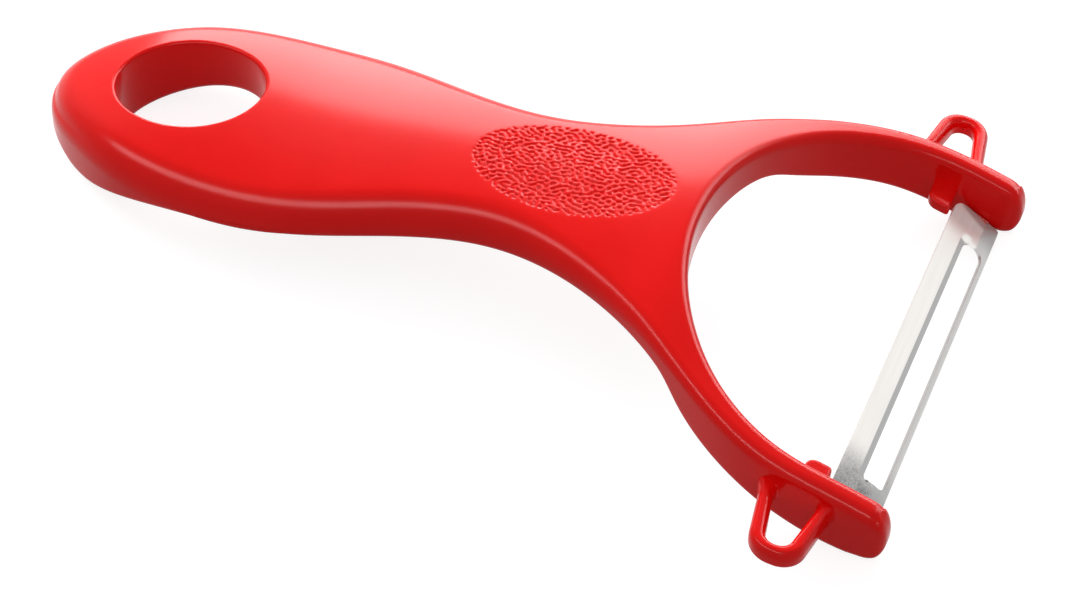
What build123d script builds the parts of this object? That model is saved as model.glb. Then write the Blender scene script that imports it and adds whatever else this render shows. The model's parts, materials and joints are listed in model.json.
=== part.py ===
from build123d import *
import os
from math import cos, radians, sin

os.makedirs("parts", exist_ok=True)

# Vegetable peeler with a Y-shaped handle and a swivelling blade, in millimetres.
# X runs from the hang end to the blade, Y across the handle, Z up.
# X = 0 is half-way along the handle. The peeler lies on its underside, on Z = 0.

# Handle seen from above
handle_length = 116.0
grip_half_width = 16.3
neck_half_width = 10.8
fork_half_width = 29.3
arm_thickness = 3.0
window_depth = 31.6

# Handle seen from the side
back_height = 15.8
hang_end_height = 7.0
crown_radius = 48.0
tip_corner_radius = 2.4
edge_radius = 1.1
rest_flat_depth = 0.3

# Hang hole
hang_hole_length = 18.8
hang_hole_width = 15.8
hang_hole_from_end = 18.8
hang_hole_edge_chamfer = 0.7

# Thumb rest on the neck
thumb_rest_length = 24.6
thumb_rest_width = 14.6
thumb_rest_from_end = 68.4
thumb_rest_depth = 0.45

# Eye-remover loops on the outer faces of the arms
loop_reach = 8.7
loop_root_width = 8.2
loop_tip_width = 5.5
loop_bar_width = 1.7
loop_bar_thickness = 1.8
loop_corner_radius = 3.0
loop_edge_chamfer = 0.4
loop_from_tip = 10.1
loop_height = 5.9

# Stop lugs on the inner faces of the arms
lug_length = 2.8
lug_reach = 3.8
lug_thickness = 1.45
lug_from_pivot = 3.1
lug_above_pivot = 2.5
lug_rise = 0.7
lug_corner_radius = 1.2
lug_edge_chamfer = 0.3

# Pivots: blind sockets in the arms, stubs on the blade
pivot_from_tip = 5.0
pivot_height = 2.6
stub_radius = 1.0
stub_length = 2.1
socket_clearance = 0.06
socket_end_gap = 0.25

# Blade: a slotted steel strip folded along its length
steel_thickness = 0.5
rear_panel_width = 4.4
guard_panel_width = 2.2
rear_panel_tilt = 26.0
guard_panel_tilt = 45.0
fold_radius = 0.8
rear_edge_from_pivot = 2.8
rear_edge_above_pivot = 1.4
blade_side_gap = 0.3
rear_corner_radius = 1.8
guard_corner_radius = 0.5
rear_strip_width = 3.0
guard_strip_width = 0.7
slot_end_margin = 5.6
slot_corner_radius = 0.8
bevel_width = 0.75
bevel_depth = 0.35
ear_radius = 1.45

# One overrun serves all cuts
cut_overrun = 5.0

# Outline of the grip: places as shares of the handle's length, widths of the grip's half width
outline_grip_shares = (0.022, 0.069, 0.128, 0.19, 0.25, 0.34, 0.437)
outline_grip_width_shares = (0.37, 0.65, 0.865, 0.97, 1.0, 0.95, 0.76)
# Neck: places as shares of the way from the grip to the window
outline_neck_shares = (0.333, 0.674)
outline_neck_width_shares = (0.0, 0.145)
# Fork: places as shares of the window's depth, from the tips
outline_fork_shares = (1.016, 0.737, 0.462, 0.184, 0.0)
outline_fork_width_shares = (0.45, 0.765, 0.965, 1.0, 1.0)
window_shares = (0.0, 0.137, 0.275, 0.435, 0.58, 0.72, 0.83, 0.925, 0.98)
window_width_shares = (1.0, 1.0, 1.0, 0.975, 0.907, 0.79, 0.643, 0.445, 0.234)

# Back seen from the side: places as shares of the handle's length, heights as shares of its rise
back_shares = (-0.02, 0.067, 0.132, 0.266, 0.418, 0.567, 0.679)
back_rise_shares = (-0.18, 0.23, 0.4, 0.51, 0.715, 0.885, 0.99)
back_crown_shares = (1.0, 1.0, 1.0, 1.0, 1.0, 1.0, 0.8)
arm_back_shares = (0.731, 0.774, 0.817, 0.866, 0.946, 1.02)
arm_back_rise_shares = (1.0, 0.875, 0.66, 0.445, 0.17, -0.125)
arm_back_crown_shares = (0.6, 0.4, 0.2, 0.1, 0.05, 0.05)
# Underside seen from the side: heights as shares of the back's height
under_shares = (0.03, 0.06, 0.134, 0.205, 0.266, 0.42, 0.567, 0.679)
under_height_shares = (-0.02, 0.0, 0.152, 0.28, 0.33, 0.457, 0.60, 0.66)
arm_under_shares = (0.731, 0.754, 0.775, 0.814, 0.857, 0.898, 0.93, 0.964)
arm_under_height_shares = (0.64, 0.59, 0.468, 0.323, 0.222, 0.123, 0.05, 0.0)

hang_end_x = -handle_length / 2
tip_x = handle_length / 2
window_half_width = fork_half_width - arm_thickness
back_rise = back_height - hang_end_height
blank_half_width = fork_half_width + cut_overrun
pivot_x = tip_x - pivot_from_tip
hang_hole_x = hang_end_x + hang_hole_from_end
thumb_rest_x = hang_end_x + thumb_rest_from_end


def along(share):
    """X at this share of the handle's length, from the hang end."""
    return hang_end_x + handle_length * share


def flare_half_width(share):
    """Half width of the fork where it flares from the neck to the arms."""
    return neck_half_width + (fork_half_width - neck_half_width) * share


def back_points(side):
    """Back of the handle in the upright plane at one side, the middle or the other side."""
    places = back_shares + arm_back_shares
    rises = back_rise_shares + arm_back_rise_shares
    crowns = back_crown_shares + arm_back_crown_shares
    points = []
    for share, rise, crown in zip(places, rises, crowns):
        drop = crown * (side * blank_half_width) ** 2 / (2 * crown_radius)
        points.append((along(share), hang_end_height + back_rise * rise - drop))
    return points


# Plan of the handle: grip, neck and fork round an open window
outline_points = [(hang_end_x, 0)]
for share, width_share in zip(outline_grip_shares, outline_grip_width_shares):
    outline_points.append((along(share), grip_half_width * width_share))
grip_end_x = outline_points[-1][0]
window_x = tip_x - window_depth
for share, width_share in zip(outline_neck_shares, outline_neck_width_shares):
    neck_x = grip_end_x + (window_x - grip_end_x) * share
    outline_points.append((neck_x, flare_half_width(width_share)))
for share, width_share in zip(outline_fork_shares, outline_fork_width_shares):
    outline_points.append((tip_x - window_depth * share, flare_half_width(width_share)))
mirrored_points = [(x, -y) for x, y in reversed(outline_points[1:])]

window_points = [(tip_x + cut_overrun, window_half_width)]
for share, width_share in zip(window_shares, window_width_shares):
    window_points.append((tip_x - window_depth * share, window_half_width * width_share))
window_mirrored_points = [(x, -y) for x, y in reversed(window_points)]

with BuildSketch() as plan:
    with BuildLine():
        Spline(*mirrored_points, *outline_points)
        Line(outline_points[-1], mirrored_points[0])
    make_face()
    with BuildLine():
        Spline(*window_points, (window_x, 0), *window_mirrored_points)
        Line(window_mirrored_points[-1], window_points[0])
    make_face(mode=Mode.SUBTRACT)

# Blank with the arched, crowned back
with BuildPart() as blank:
    for side in (-1, 0, 1):
        back = back_points(side)
        with BuildSketch(Plane.XZ.offset(-side * blank_half_width)):
            with BuildLine():
                Spline(*back)
                Polyline(
                    back[-1],
                    (back[-1][0], -2 * back_height),
                    (back[0][0], -2 * back_height),
                    back[0],
                )
            make_face()
    loft()

# Arched space under the handle
under_points = [(hang_end_x - cut_overrun, -rest_flat_depth)]
for share, height in zip(under_shares, under_height_shares):
    under_points.append((along(share), back_height * height))
for share, height in zip(arm_under_shares, arm_under_height_shares):
    under_points.append((along(share), back_height * height))
under_points.append((tip_x + cut_overrun, -rest_flat_depth))

with BuildPart() as under_space:
    with BuildSketch(Plane.XZ.offset(-blank_half_width)):
        with BuildLine():
            Spline(*under_points)
            Polyline(
                under_points[-1],
                (tip_x + cut_overrun, -2 * back_height),
                (hang_end_x - cut_overrun, -2 * back_height),
                under_points[0],
            )
        make_face()
    extrude(amount=2 * blank_half_width)

# Shallow recess of the thumb rest, of even depth below the back
with BuildPart() as thumb_recess:
    with BuildSketch():
        with Locations((thumb_rest_x, 0)):
            Ellipse(thumb_rest_length / 2, thumb_rest_width / 2)
    extrude(amount=2 * back_height)
    add(blank.part.moved(Location((0, 0, -thumb_rest_depth))), mode=Mode.SUBTRACT)

# One eye-remover loop, in the arm at +Y
loop_x = tip_x - loop_from_tip
loop_root_y = fork_half_width - loop_bar_width
loop_tip_y = fork_half_width + loop_reach
with BuildPart() as loop:
    with BuildSketch(Plane.XY.offset(loop_height - loop_bar_thickness / 2)):
        with BuildLine():
            Polyline(
                (loop_x - loop_root_width / 2, loop_root_y),
                (loop_x - loop_tip_width / 2, loop_tip_y),
                (loop_x + loop_tip_width / 2, loop_tip_y),
                (loop_x + loop_root_width / 2, loop_root_y),
                close=True,
            )
        make_face()
        fillet(vertices().group_by(Axis.Y)[-1], loop_corner_radius)
        offset(amount=-loop_bar_width, mode=Mode.SUBTRACT)
    extrude(amount=loop_bar_thickness)
    chamfer(loop.faces().filter_by(Axis.Z).edges(), loop_edge_chamfer)

# One stop lug, on the arm at +Y
lug_front_x = pivot_x - lug_from_pivot
lug_front_top = pivot_height + lug_above_pivot
lug_rear_x = lug_front_x - lug_length
lug_rear_top = lug_front_top + lug_rise
lug_y = window_half_width - lug_reach
with BuildPart() as lug:
    with BuildSketch(Plane.XZ.offset(-lug_y)):
        with BuildLine():
            Polyline(
                (lug_rear_x, lug_rear_top - lug_thickness),
                (lug_front_x, lug_front_top - lug_thickness),
                (lug_front_x, lug_front_top),
                (lug_rear_x, lug_rear_top),
                close=True,
            )
        make_face()
    extrude(amount=-(lug_reach + arm_thickness / 2))
    inner_face = lug.faces().sort_by(Axis.Y)[0]
    fillet(inner_face.edges().sort_by(Axis.X)[0], lug_corner_radius)
    chamfer(lug.faces().sort_by(Axis.Y)[0].edges(), lug_edge_chamfer)

# Handle, moulded in one piece
socket_depth = blade_side_gap + stub_length + socket_end_gap
with BuildPart() as handle:
    with BuildSketch(Plane.XY.offset(-back_height)):
        add(plan.sketch)
    extrude(amount=3 * back_height)
    add(blank.part, mode=Mode.INTERSECT)
    add(under_space.part, mode=Mode.SUBTRACT)
    tip_faces = handle.faces().filter_by(Axis.X).group_by(Axis.X)[-1]
    fillet(tip_faces.edges().filter_by(GeomType.LINE, reverse=True), tip_corner_radius)
    fillet(
        handle.edges().filter_by(lambda edge: edge.bounding_box().size.X > tip_corner_radius / 2),
        edge_radius,
    )
    split(bisect_by=Plane.XY)
    with BuildSketch(Plane.XY.offset(-back_height)):
        with Locations((hang_hole_x, 0)):
            Ellipse(hang_hole_length / 2, hang_hole_width / 2)
    extrude(amount=3 * back_height, mode=Mode.SUBTRACT)
    hole_rims = handle.edges().filter_by(
        lambda edge: edge.length > 2 * hang_hole_width
        and edge.bounding_box().max.X < hang_hole_x + hang_hole_length
    )
    chamfer(hole_rims, hang_hole_edge_chamfer)
    add(thumb_recess.part, mode=Mode.SUBTRACT)
    add(loop.part)
    add(lug.part)
    add(mirror(loop.part, about=Plane.XZ))
    add(mirror(lug.part, about=Plane.XZ))
    with Locations((pivot_x, 0, pivot_height)):
        Cylinder(
            stub_radius + socket_clearance,
            2 * (window_half_width + stub_length - blade_side_gap + socket_end_gap),
            rotation=(90, 0, 0),
            mode=Mode.SUBTRACT,
        )
handle.part.label = "handle"
export_step(handle.part, "parts/handle.step")

# Swivel blade: folded and slotted strip
blade_half_length = window_half_width - blade_side_gap
rear_edge = Vector(pivot_x - rear_edge_from_pivot, pivot_height + rear_edge_above_pivot)
rear_direction = Vector(cos(radians(rear_panel_tilt)), -sin(radians(rear_panel_tilt)))
guard_direction = Vector(cos(radians(guard_panel_tilt)), -sin(radians(guard_panel_tilt)))
fold = rear_edge + rear_direction * rear_panel_width
guard_edge = fold + guard_direction * guard_panel_width
slot_rear = rear_edge + rear_direction * rear_strip_width
slot_front = guard_edge - guard_direction * guard_strip_width
bevel_start = slot_rear - rear_direction * bevel_width
bevel_end = slot_rear + rear_direction * bevel_width
bevel_slope = rear_direction * bevel_width + Vector(rear_direction.Y, -rear_direction.X) * bevel_depth

with BuildPart() as blade:
    with BuildSketch(Plane.XZ.offset(-blade_half_length)):
        with BuildLine() as strip_line:
            FilletPolyline(rear_edge, fold, guard_edge, radius=fold_radius)
            offset(amount=steel_thickness, side=Side.RIGHT)
        make_face()
    extrude(amount=2 * blade_half_length)
    with BuildSketch(Plane.XY.offset(-back_height)):
        with Locations(((slot_rear.X + slot_front.X) / 2, 0)):
            RectangleRounded(
                slot_front.X - slot_rear.X,
                2 * (blade_half_length - slot_end_margin),
                slot_corner_radius,
            )
    extrude(amount=2 * back_height, mode=Mode.SUBTRACT)
    with BuildSketch(Plane.XZ.offset(-(blade_half_length - slot_end_margin))):
        with BuildLine():
            Polyline(bevel_start, bevel_start + bevel_slope * 2, bevel_end, close=True)
        make_face()
    extrude(amount=2 * (blade_half_length - slot_end_margin), mode=Mode.SUBTRACT)
    for place, radius in ((0, rear_corner_radius), (-1, guard_corner_radius)):
        end_edges = blade.edges().filter_by(
            lambda edge: edge.length < 2 * steel_thickness
            and abs(edge.center().Y) > blade_half_length - steel_thickness
        )
        fillet(end_edges.group_by(Axis.X)[place], radius)
    for side in (-1, 1):
        ear = Plane((pivot_x, side * blade_half_length, pivot_height), x_dir=(1, 0, 0), z_dir=(0, side, 0))
        with BuildSketch(ear):
            Circle(ear_radius)
        extrude(amount=-steel_thickness)
        with BuildSketch(ear):
            Circle(stub_radius)
        extrude(amount=stub_length)

blade.part.label = "blade"
export_step(blade.part, "parts/blade.step")
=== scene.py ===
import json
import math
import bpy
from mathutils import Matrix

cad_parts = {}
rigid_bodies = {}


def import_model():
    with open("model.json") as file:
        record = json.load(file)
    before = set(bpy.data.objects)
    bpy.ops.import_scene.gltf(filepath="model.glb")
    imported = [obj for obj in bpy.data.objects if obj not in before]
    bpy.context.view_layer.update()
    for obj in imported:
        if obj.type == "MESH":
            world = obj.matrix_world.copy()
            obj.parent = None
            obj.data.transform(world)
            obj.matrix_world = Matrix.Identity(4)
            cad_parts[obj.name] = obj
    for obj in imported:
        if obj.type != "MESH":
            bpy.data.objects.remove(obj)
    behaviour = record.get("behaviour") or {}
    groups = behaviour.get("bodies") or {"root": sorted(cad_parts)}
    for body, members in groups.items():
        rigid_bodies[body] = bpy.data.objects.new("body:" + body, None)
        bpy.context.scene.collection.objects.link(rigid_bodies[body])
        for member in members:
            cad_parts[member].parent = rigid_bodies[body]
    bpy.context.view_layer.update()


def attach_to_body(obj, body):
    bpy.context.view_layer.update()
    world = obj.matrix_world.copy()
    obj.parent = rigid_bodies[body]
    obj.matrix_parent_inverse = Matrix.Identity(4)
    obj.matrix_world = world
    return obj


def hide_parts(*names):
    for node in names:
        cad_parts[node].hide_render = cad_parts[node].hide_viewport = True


bl_info = {
    "name": "Vegetable peeler",
    "version": (1, 0, 0),
    "blender": (4, 5, 0),
    "location": "3D View > Sidebar > Peeler",
    "description": "Builds a Y-shaped vegetable peeler with a swivel blade on a studio stage",
    "category": "Add Mesh",
}

import bpy
import numpy as np
from bpy.props import FloatProperty, FloatVectorProperty, PointerProperty
from bpy.types import Operator, Panel, PropertyGroup
from mathutils import Matrix, Vector
from mathutils.geometry import delaunay_2d_cdt

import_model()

# Outline of the grip: places as shares of the handle's length, widths of the grip's half width
GRIP_SHARES = (0.022, 0.069, 0.128, 0.19, 0.25, 0.34, 0.437)
GRIP_WIDTH_SHARES = (0.37, 0.65, 0.865, 0.97, 1.0, 0.95, 0.76)
# Neck: places as shares of the way from the grip to the window
NECK_SHARES = (0.333, 0.674)
NECK_WIDTH_SHARES = (0.0, 0.145)
# Fork and window: places as shares of the window's depth, from the tips
FORK_SHARES = (1.016, 0.737, 0.462, 0.184, 0.0)
FORK_WIDTH_SHARES = (0.45, 0.765, 0.965, 1.0, 1.0)
WINDOW_SHARES = (0.0, 0.137, 0.275, 0.435, 0.58, 0.72, 0.83, 0.925, 0.98)
WINDOW_WIDTH_SHARES = (1.0, 1.0, 1.0, 0.975, 0.907, 0.79, 0.643, 0.445, 0.234)
# Back seen from the side: places as shares of the length, heights as shares of the rise
BACK_SHARES = (-0.02, 0.067, 0.132, 0.266, 0.418, 0.567, 0.679, 0.731, 0.774, 0.817, 0.866, 0.946, 1.02)
BACK_RISE_SHARES = (-0.18, 0.23, 0.4, 0.51, 0.715, 0.885, 0.99, 1.0, 0.875, 0.66, 0.445, 0.17, -0.125)
BACK_CROWN_SHARES = (1.0, 1.0, 1.0, 1.0, 1.0, 1.0, 0.8, 0.6, 0.4, 0.2, 0.1, 0.05, 0.05)
# Underside seen from the side: heights as shares of the back's height
UNDER_SHARES = (0.03, 0.06, 0.134, 0.205, 0.266, 0.42, 0.567, 0.679)
UNDER_HEIGHT_SHARES = (-0.02, 0.0, 0.152, 0.28, 0.33, 0.457, 0.60, 0.66)
ARM_UNDER_SHARES = (0.731, 0.754, 0.775, 0.814, 0.857, 0.898, 0.93, 0.964)
ARM_UNDER_HEIGHT_SHARES = (0.64, 0.59, 0.468, 0.323, 0.222, 0.123, 0.05, 0.0)
# Tips of the arms: rounding of their top edge as a share of their corner, seen from above
TIP_EDGE_SHARE = 0.85
# Underside of the hang end: how much wider its rounding is
NOSE_ROUNDING_SHARE = 1.5
# Thumb rest: where its dish starts and ends and where its wrinkles fade, as shares of its radius
DISH_START_SHARE = 0.6
DISH_END_SHARE = 1.04
WRINKLE_FADE_SHARE = 0.965
# Wrinkles: cells in a wave, spare cells round the rest, stretch, band of waves, sharpness and level
WRINKLE_CELLS = 12
SPARE_CELLS = 20
WRINKLE_STRETCH_SHARES = (1.12, 0.9)
WRINKLE_BAND_SHARE = 0.24
WRINKLE_SHARPNESS = 2.4
WRINKLE_LEVEL = 0.45
WRINKLE_SEED = 7
# Loops: depth of a root in the arm and swell of a root, as shares of the arm's thickness and the flare
LOOP_ROOT_SHARE = 0.6
LOOP_SWELL_SHARE = 0.12
# Points along the long curves and the loops' sides, in the arcs, and round the sockets and the stubs
SIDE_VIEW_POINTS = 4000
OUTLINE_POINTS = 1600
WINDOW_POINTS = 800
LOOP_SIDE_POINTS = 60
LOOP_ROOT_POINTS = 8
LOOP_TIP_POINTS = 14
TIP_POINTS = 12
ARC_POINTS = 9
SOCKET_POINTS = 48
STUB_POINTS = 40
# Heights of the rings on a side wall, as shares of the wall
WALL_SHARES = (0.25, 0.5, 0.75)
# Rows of mesh points beside the bevel's edge, as shares of the steel, and across the fold, of its width
BEVEL_LINE_SHARES = (-0.1, 0.1)
FOLD_LINE_SHARES = (-0.5, -0.25, 0, 0.25, 0.5)
# Gap below which two points of a loop are one
TINY = 1e-9

# Plastic: how far its clouds and its fine grain change the gloss
CLOUD_ROUGHNESS = 0.06
GRAIN_ROUGHNESS = 0.05
# Steel: the scratched end, darkened also by a painted dark reflection, and the dull far end, as shares of
# half of the blade's length
SCRATCHES_AND_REFLECTION_END_SHARES = (-0.86, -0.6)
FAR_END_SHARES = (0.76, 0.93)
# Steel: how much of each colour is mixed in, and how far each finish changes the gloss
BRUSH_LINES_SHARE = 0.4
SCRATCHES_AND_REFLECTION_SHARE = 0.7
SCRATCHES_SHARE = 0.25
GUARD_SHADE_SHARE = 0.7
BENT_END_SHADE_SHARE = 0.8
BENT_END_DULL_SHARE = 0.7
FAR_END_DULL_SHARE = 0.95
BRUSHED_ROUGHNESS = 0.16
WORN_ROUGHNESS = 0.12
GROUND_ROUGHNESS = 0.08
# Camera axes, fitted to the view, and the directions of the lights
CAMERA_RIGHT = (0.92258, 0.38451, 0.03163)
CAMERA_UP = (-0.2914, 0.64072, 0.71033)
CAMERA_BACK = (0.25286, -0.66455, 0.70316)
KEY_DIRECTION = (-0.5, 0.66, 0.56)
SHEEN_DIRECTION = (0.08, 0.87, 0.4)
STRIP_DIRECTION = (-0.25, -0.62, 0.74)


def length(name, description, default):
    """A size in metres for a settings group."""
    return FloatProperty(
        name=name, description=description, default=default, min=0, unit="LENGTH", precision=5
    )


def angle(name, description, default):
    """An angle for a settings group."""
    return FloatProperty(name=name, description=description, default=default, unit="ROTATION")


def number(name, description, default, low=0.0):
    """A plain number for a settings group."""
    return FloatProperty(name=name, description=description, default=default, min=low)


def fraction(name, description, default):
    """A number from 0 to 1 for a settings group."""
    return FloatProperty(name=name, description=description, default=default, min=0, max=1)


def colour(name, description, default):
    """A linear colour for a settings group."""
    return FloatVectorProperty(
        name=name, description=description, default=default, size=3, subtype="COLOR", min=0, max=1
    )


class PeelerHandleSettings(PropertyGroup):
    handle_length: length("Length", "Hang end to the tips of the arms", 0.116)
    grip_half_width: length("Grip half width", "Half of the grip's width", 0.0163)
    neck_half_width: length("Neck half width", "Half of the neck's width", 0.0108)
    fork_half_width: length("Fork half width", "Half of the width across both arms", 0.0293)
    arm_thickness: length("Arm thickness", "Thickness of an arm, seen from above", 0.003)
    window_depth: length("Window depth", "Tips of the arms to the crotch", 0.0316)
    back_height: length("Back height", "Highest point of the back", 0.0158)
    hang_end_height: length("Hang end height", "Height of the hang end", 0.007)
    crown_radius: length("Crown radius", "Radius of the crowned back, seen from the end", 0.052)
    grip_edge_radius: length("Grip edge radius", "Rounding of the back's edge on the grip", 0.0034)
    arm_edge_radius: length("Arm edge radius", "Rounding of the back's edge on the arms", 0.0014)
    window_edge_radius: length("Window edge radius", "Rounding of the back's edge round the window", 0.0012)
    under_edge_radius: length("Under edge radius", "Rounding of the underside's edges", 0.0008)
    tip_corner_radius: length("Tip corner radius", "Corner of a tip, seen from the side", 0.0024)
    tip_plan_radius: length("Tip plan radius", "Corner of a tip, seen from above", 0.0011)
    rest_flat_depth: length("Rest flat depth", "Depth of the underside's ends below the rest plane", 0.0003)
    crease_length: length("Crease length", "Reach of the crease round the hang end", 0.015)
    crease_depth: length("Crease depth", "Depth of the crease round the hang end", 0.0004)
    crease_turn: angle("Crease place", "Place of the crease on the edge's rounding", 0.6)
    crease_spread: angle("Crease spread", "Width of the crease on the edge's rounding", 0.14)
    nose_start: length("Nose start", "Hang end to where the underside's wider rounding starts to fade", 0.002)
    nose_end: length("Nose end", "Hang end to where the underside's wider rounding ends", 0.012)
    hole_length: length("Hang hole length", "Length of the hang hole", 0.0188)
    hole_width: length("Hang hole width", "Width of the hang hole", 0.0158)
    hole_from_end: length("Hang hole place", "Hang end to the middle of the hang hole", 0.0188)
    hole_edge_radius: length("Hang hole edge radius", "Rounding of the hang hole's rim", 0.0005)
    rest_length: length("Thumb rest length", "Length of the thumb rest", 0.0246)
    rest_width: length("Thumb rest width", "Width of the thumb rest", 0.0146)
    rest_from_end: length("Thumb rest place", "Hang end to the middle of the thumb rest", 0.0684)
    rest_depth: length("Thumb rest depth", "Depth of the thumb rest's dish", 0.00022)
    wrinkle_pitch: length("Wrinkle pitch", "Distance between the wrinkles of the thumb rest", 0.00075)
    wrinkle_depth: length("Wrinkle depth", "Depth of the wrinkles", 0.00019)
    wrinkle_step: length("Wrinkle step", "Mesh spacing on the thumb rest", 0.00011)
    rest_gap: length("Thumb rest gap", "Gap between the fine mesh of the thumb rest and the next one", 0.0001)
    mesh_step: length("Mesh step", "Mesh spacing elsewhere", 0.0008)

    @property
    def hang_x(self):
        """X of the hang end."""
        return -self.handle_length / 2

    @property
    def tip_x(self):
        """X of the tips of the arms."""
        return self.handle_length / 2

    @property
    def window_half(self):
        """Half of the window's width between the arms."""
        return self.fork_half_width - self.arm_thickness


class PeelerLoopSettings(PropertyGroup):
    from_tip: length("Place", "Tips of the arms to the middle of a loop", 0.0101)
    height: length("Height", "Height of a loop's middle above the rest plane", 0.0059)
    root_width: length("Root width", "Width of a loop at the arm", 0.0082)
    tip_width: length("Tip width", "Width of a loop at its tip", 0.0055)
    reach: length("Reach", "Reach of a loop beyond the arm", 0.0087)
    root_inset: length("Root inset", "How far a loop starts inside the fork's width", 0.0001)
    tip_radius: length("Tip radius", "Rounding of a loop's tip, seen from above", 0.0029)
    bar_width: length("Bar width", "Width of a loop's bar, seen from above", 0.0016)
    bar_thickness: length("Bar thickness", "Thickness of a loop's bar", 0.0022)
    flare: length("Flare", "Rounding between a loop and the arm", 0.00032)
    edge_radius: length("Edge radius", "Rounding of a bar's edges", 0.0007)
    edge_stretch: number("Edge stretch", "Depth of a bar's top rounding in edge radii", 1.7, 0.1)
    tilt: angle("Tilt", "Tilt of a loop down towards the tips", math.radians(4.8))
    mesh_step: length("Mesh step", "Mesh spacing on the loops", 0.0003)


class PeelerLugSettings(PropertyGroup):
    length: length("Length", "Length of a lug along the arm", 0.0028)
    reach: length("Reach", "Reach of a lug from the arm", 0.0038)
    thickness: length("Thickness", "Thickness of a lug", 0.00145)
    from_pivot: length("Place", "Pivot to the front of a lug", 0.0031)
    above_pivot: length("Height", "Height of a lug's front top edge above the pivot", 0.0025)
    rise: length("Rise", "Rise of a lug's top away from the blade", 0.0007)
    corner_radius: length("Rear corner radius", "Rear inner corner, seen from above", 0.0012)
    front_radius: length("Front corner radius", "Front inner corner, seen from above", 0.0004)
    edge_radius: length("Edge radius", "Rounding of a lug's edges", 0.0003)
    mesh_step: length("Mesh step", "Mesh spacing on the lugs", 0.0002)


class PeelerBladeSettings(PropertyGroup):
    pivot_from_tip: length("Pivot place", "Tips of the arms to the blade's pivot", 0.005)
    pivot_height: length("Pivot height", "Height of the pivot above the rest plane", 0.0026)
    side_gap: length("Side gap", "Gap between the blade and an arm", 0.0003)
    steel_thickness: length("Steel thickness", "Thickness of the strip", 0.0005)
    rear_panel_width: length("Rear panel width", "Rear edge to the fold", 0.0044)
    guard_panel_width: length("Guard panel width", "Fold to the guard's edge", 0.0022)
    rear_panel_tilt: angle("Rear panel tilt", "Slope of the rear panel towards the tips", math.radians(26))
    guard_panel_tilt: angle("Guard tilt", "Slope of the guard panel towards the tips", math.radians(45))
    fold_radius: length("Fold radius", "Radius of the fold", 0.0008)
    rear_edge_from_pivot: length("Rear edge place", "Pivot to the rear edge, along the handle", 0.0028)
    rear_edge_above_pivot: length("Rear edge height", "Height of the rear edge above the pivot", 0.0014)
    rear_corner_radius: length("Rear corner radius", "Rear corners of the strip", 0.0018)
    guard_corner_radius: length("Guard corner radius", "Guard corners of the strip", 0.0005)
    rear_strip_width: length("Rear strip width", "Rear edge to the slot", 0.003)
    guard_strip_width: length("Guard strip width", "Slot to the guard's edge", 0.0007)
    slot_end_margin: length("Slot end margin", "Slot to the end of the strip", 0.0056)
    slot_corner_radius: length("Slot corner radius", "Slot's rear corners", 0.0008)
    slot_front_radius: length("Slot front radius", "Slot's front corners", 0.0012)
    bevel_width: length("Bevel width", "Width of the ground cutting bevel", 0.00075)
    bevel_depth: length("Bevel depth", "Depth of the ground cutting bevel", 0.00035)
    edge_radius: length("Edge radius", "Rounding of the strip's edges", 0.00007)
    ear_length: length("Ear length", "Bent down end, along the fold", 0.0024)
    ear_curve: number("Ear curve", "How the bend curves towards the rear corner", 0.6, 0.1)
    ear_guard_share: fraction("Guard share", "How much less the end bends at the guard's edge", 0.85)
    ear_bend_radius: length("Ear bend length", "Length over which the end bends down", 0.0006)
    ear_tilt: angle("Ear tilt", "Slope of the bent down end", math.radians(18))
    ear_radius: length("Ear radius", "Radius of the ear below the panel", 0.00145)
    ear_drop: length("Ear top", "Depth of an ear's top below the pivot", 0.0004)
    stub_radius: length("Stub radius", "Radius of the pivot stubs", 0.001)
    stub_length: length("Stub length", "Length of the pivot stubs", 0.0021)
    socket_skin: length("Socket skin", "Plastic between the window and a pivot", 0.00025)
    socket_radius: length("Socket radius", "Radius of the sockets in the arms", 0.00106)
    socket_depth: length("Socket depth", "Depth of the sockets in the arms", 0.0021)
    mesh_step: length("Mesh step", "Mesh spacing on the blade", 0.00034)


class PeelerFinishSettings(PropertyGroup):
    plastic_colour: colour("Plastic", "Colour of the moulded plastic", (0.83, 0.004, 0.003))
    plastic_shade: colour("Plastic shade", "Slightly deeper colour of the plastic", (0.79, 0.003, 0.002))
    plastic_roughness: fraction("Plastic roughness", "Roughness of the plastic", 0.19)
    plastic_specular: fraction("Plastic specular", "Strength of the plastic's reflections", 0.11)
    steel_colour: colour("Steel", "Colour of the brushed steel", (0.93, 0.905, 0.87))
    brushed_colour: colour("Brush lines", "Colour of the brush lines", (0.8, 0.78, 0.75))
    # Bent ends: painted shade where the bend turns away
    end_colour: colour("Bent end", "Colour of the strip's bent ends", (0.45, 0.44, 0.42))
    # Near end: colour of real scratches and of a painted dark reflection
    worn_colour: colour("Scratched steel", "Colour of the scratched steel near its end", (0.1, 0.105, 0.112))
    # The ground bevel's own grey, also mixed onto the guard panel as painted shade
    bevel_colour: colour("Ground steel", "Colour of the ground bevel", (0.42, 0.42, 0.42))
    steel_roughness: fraction("Steel roughness", "Roughness of the steel", 0.3)


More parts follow.
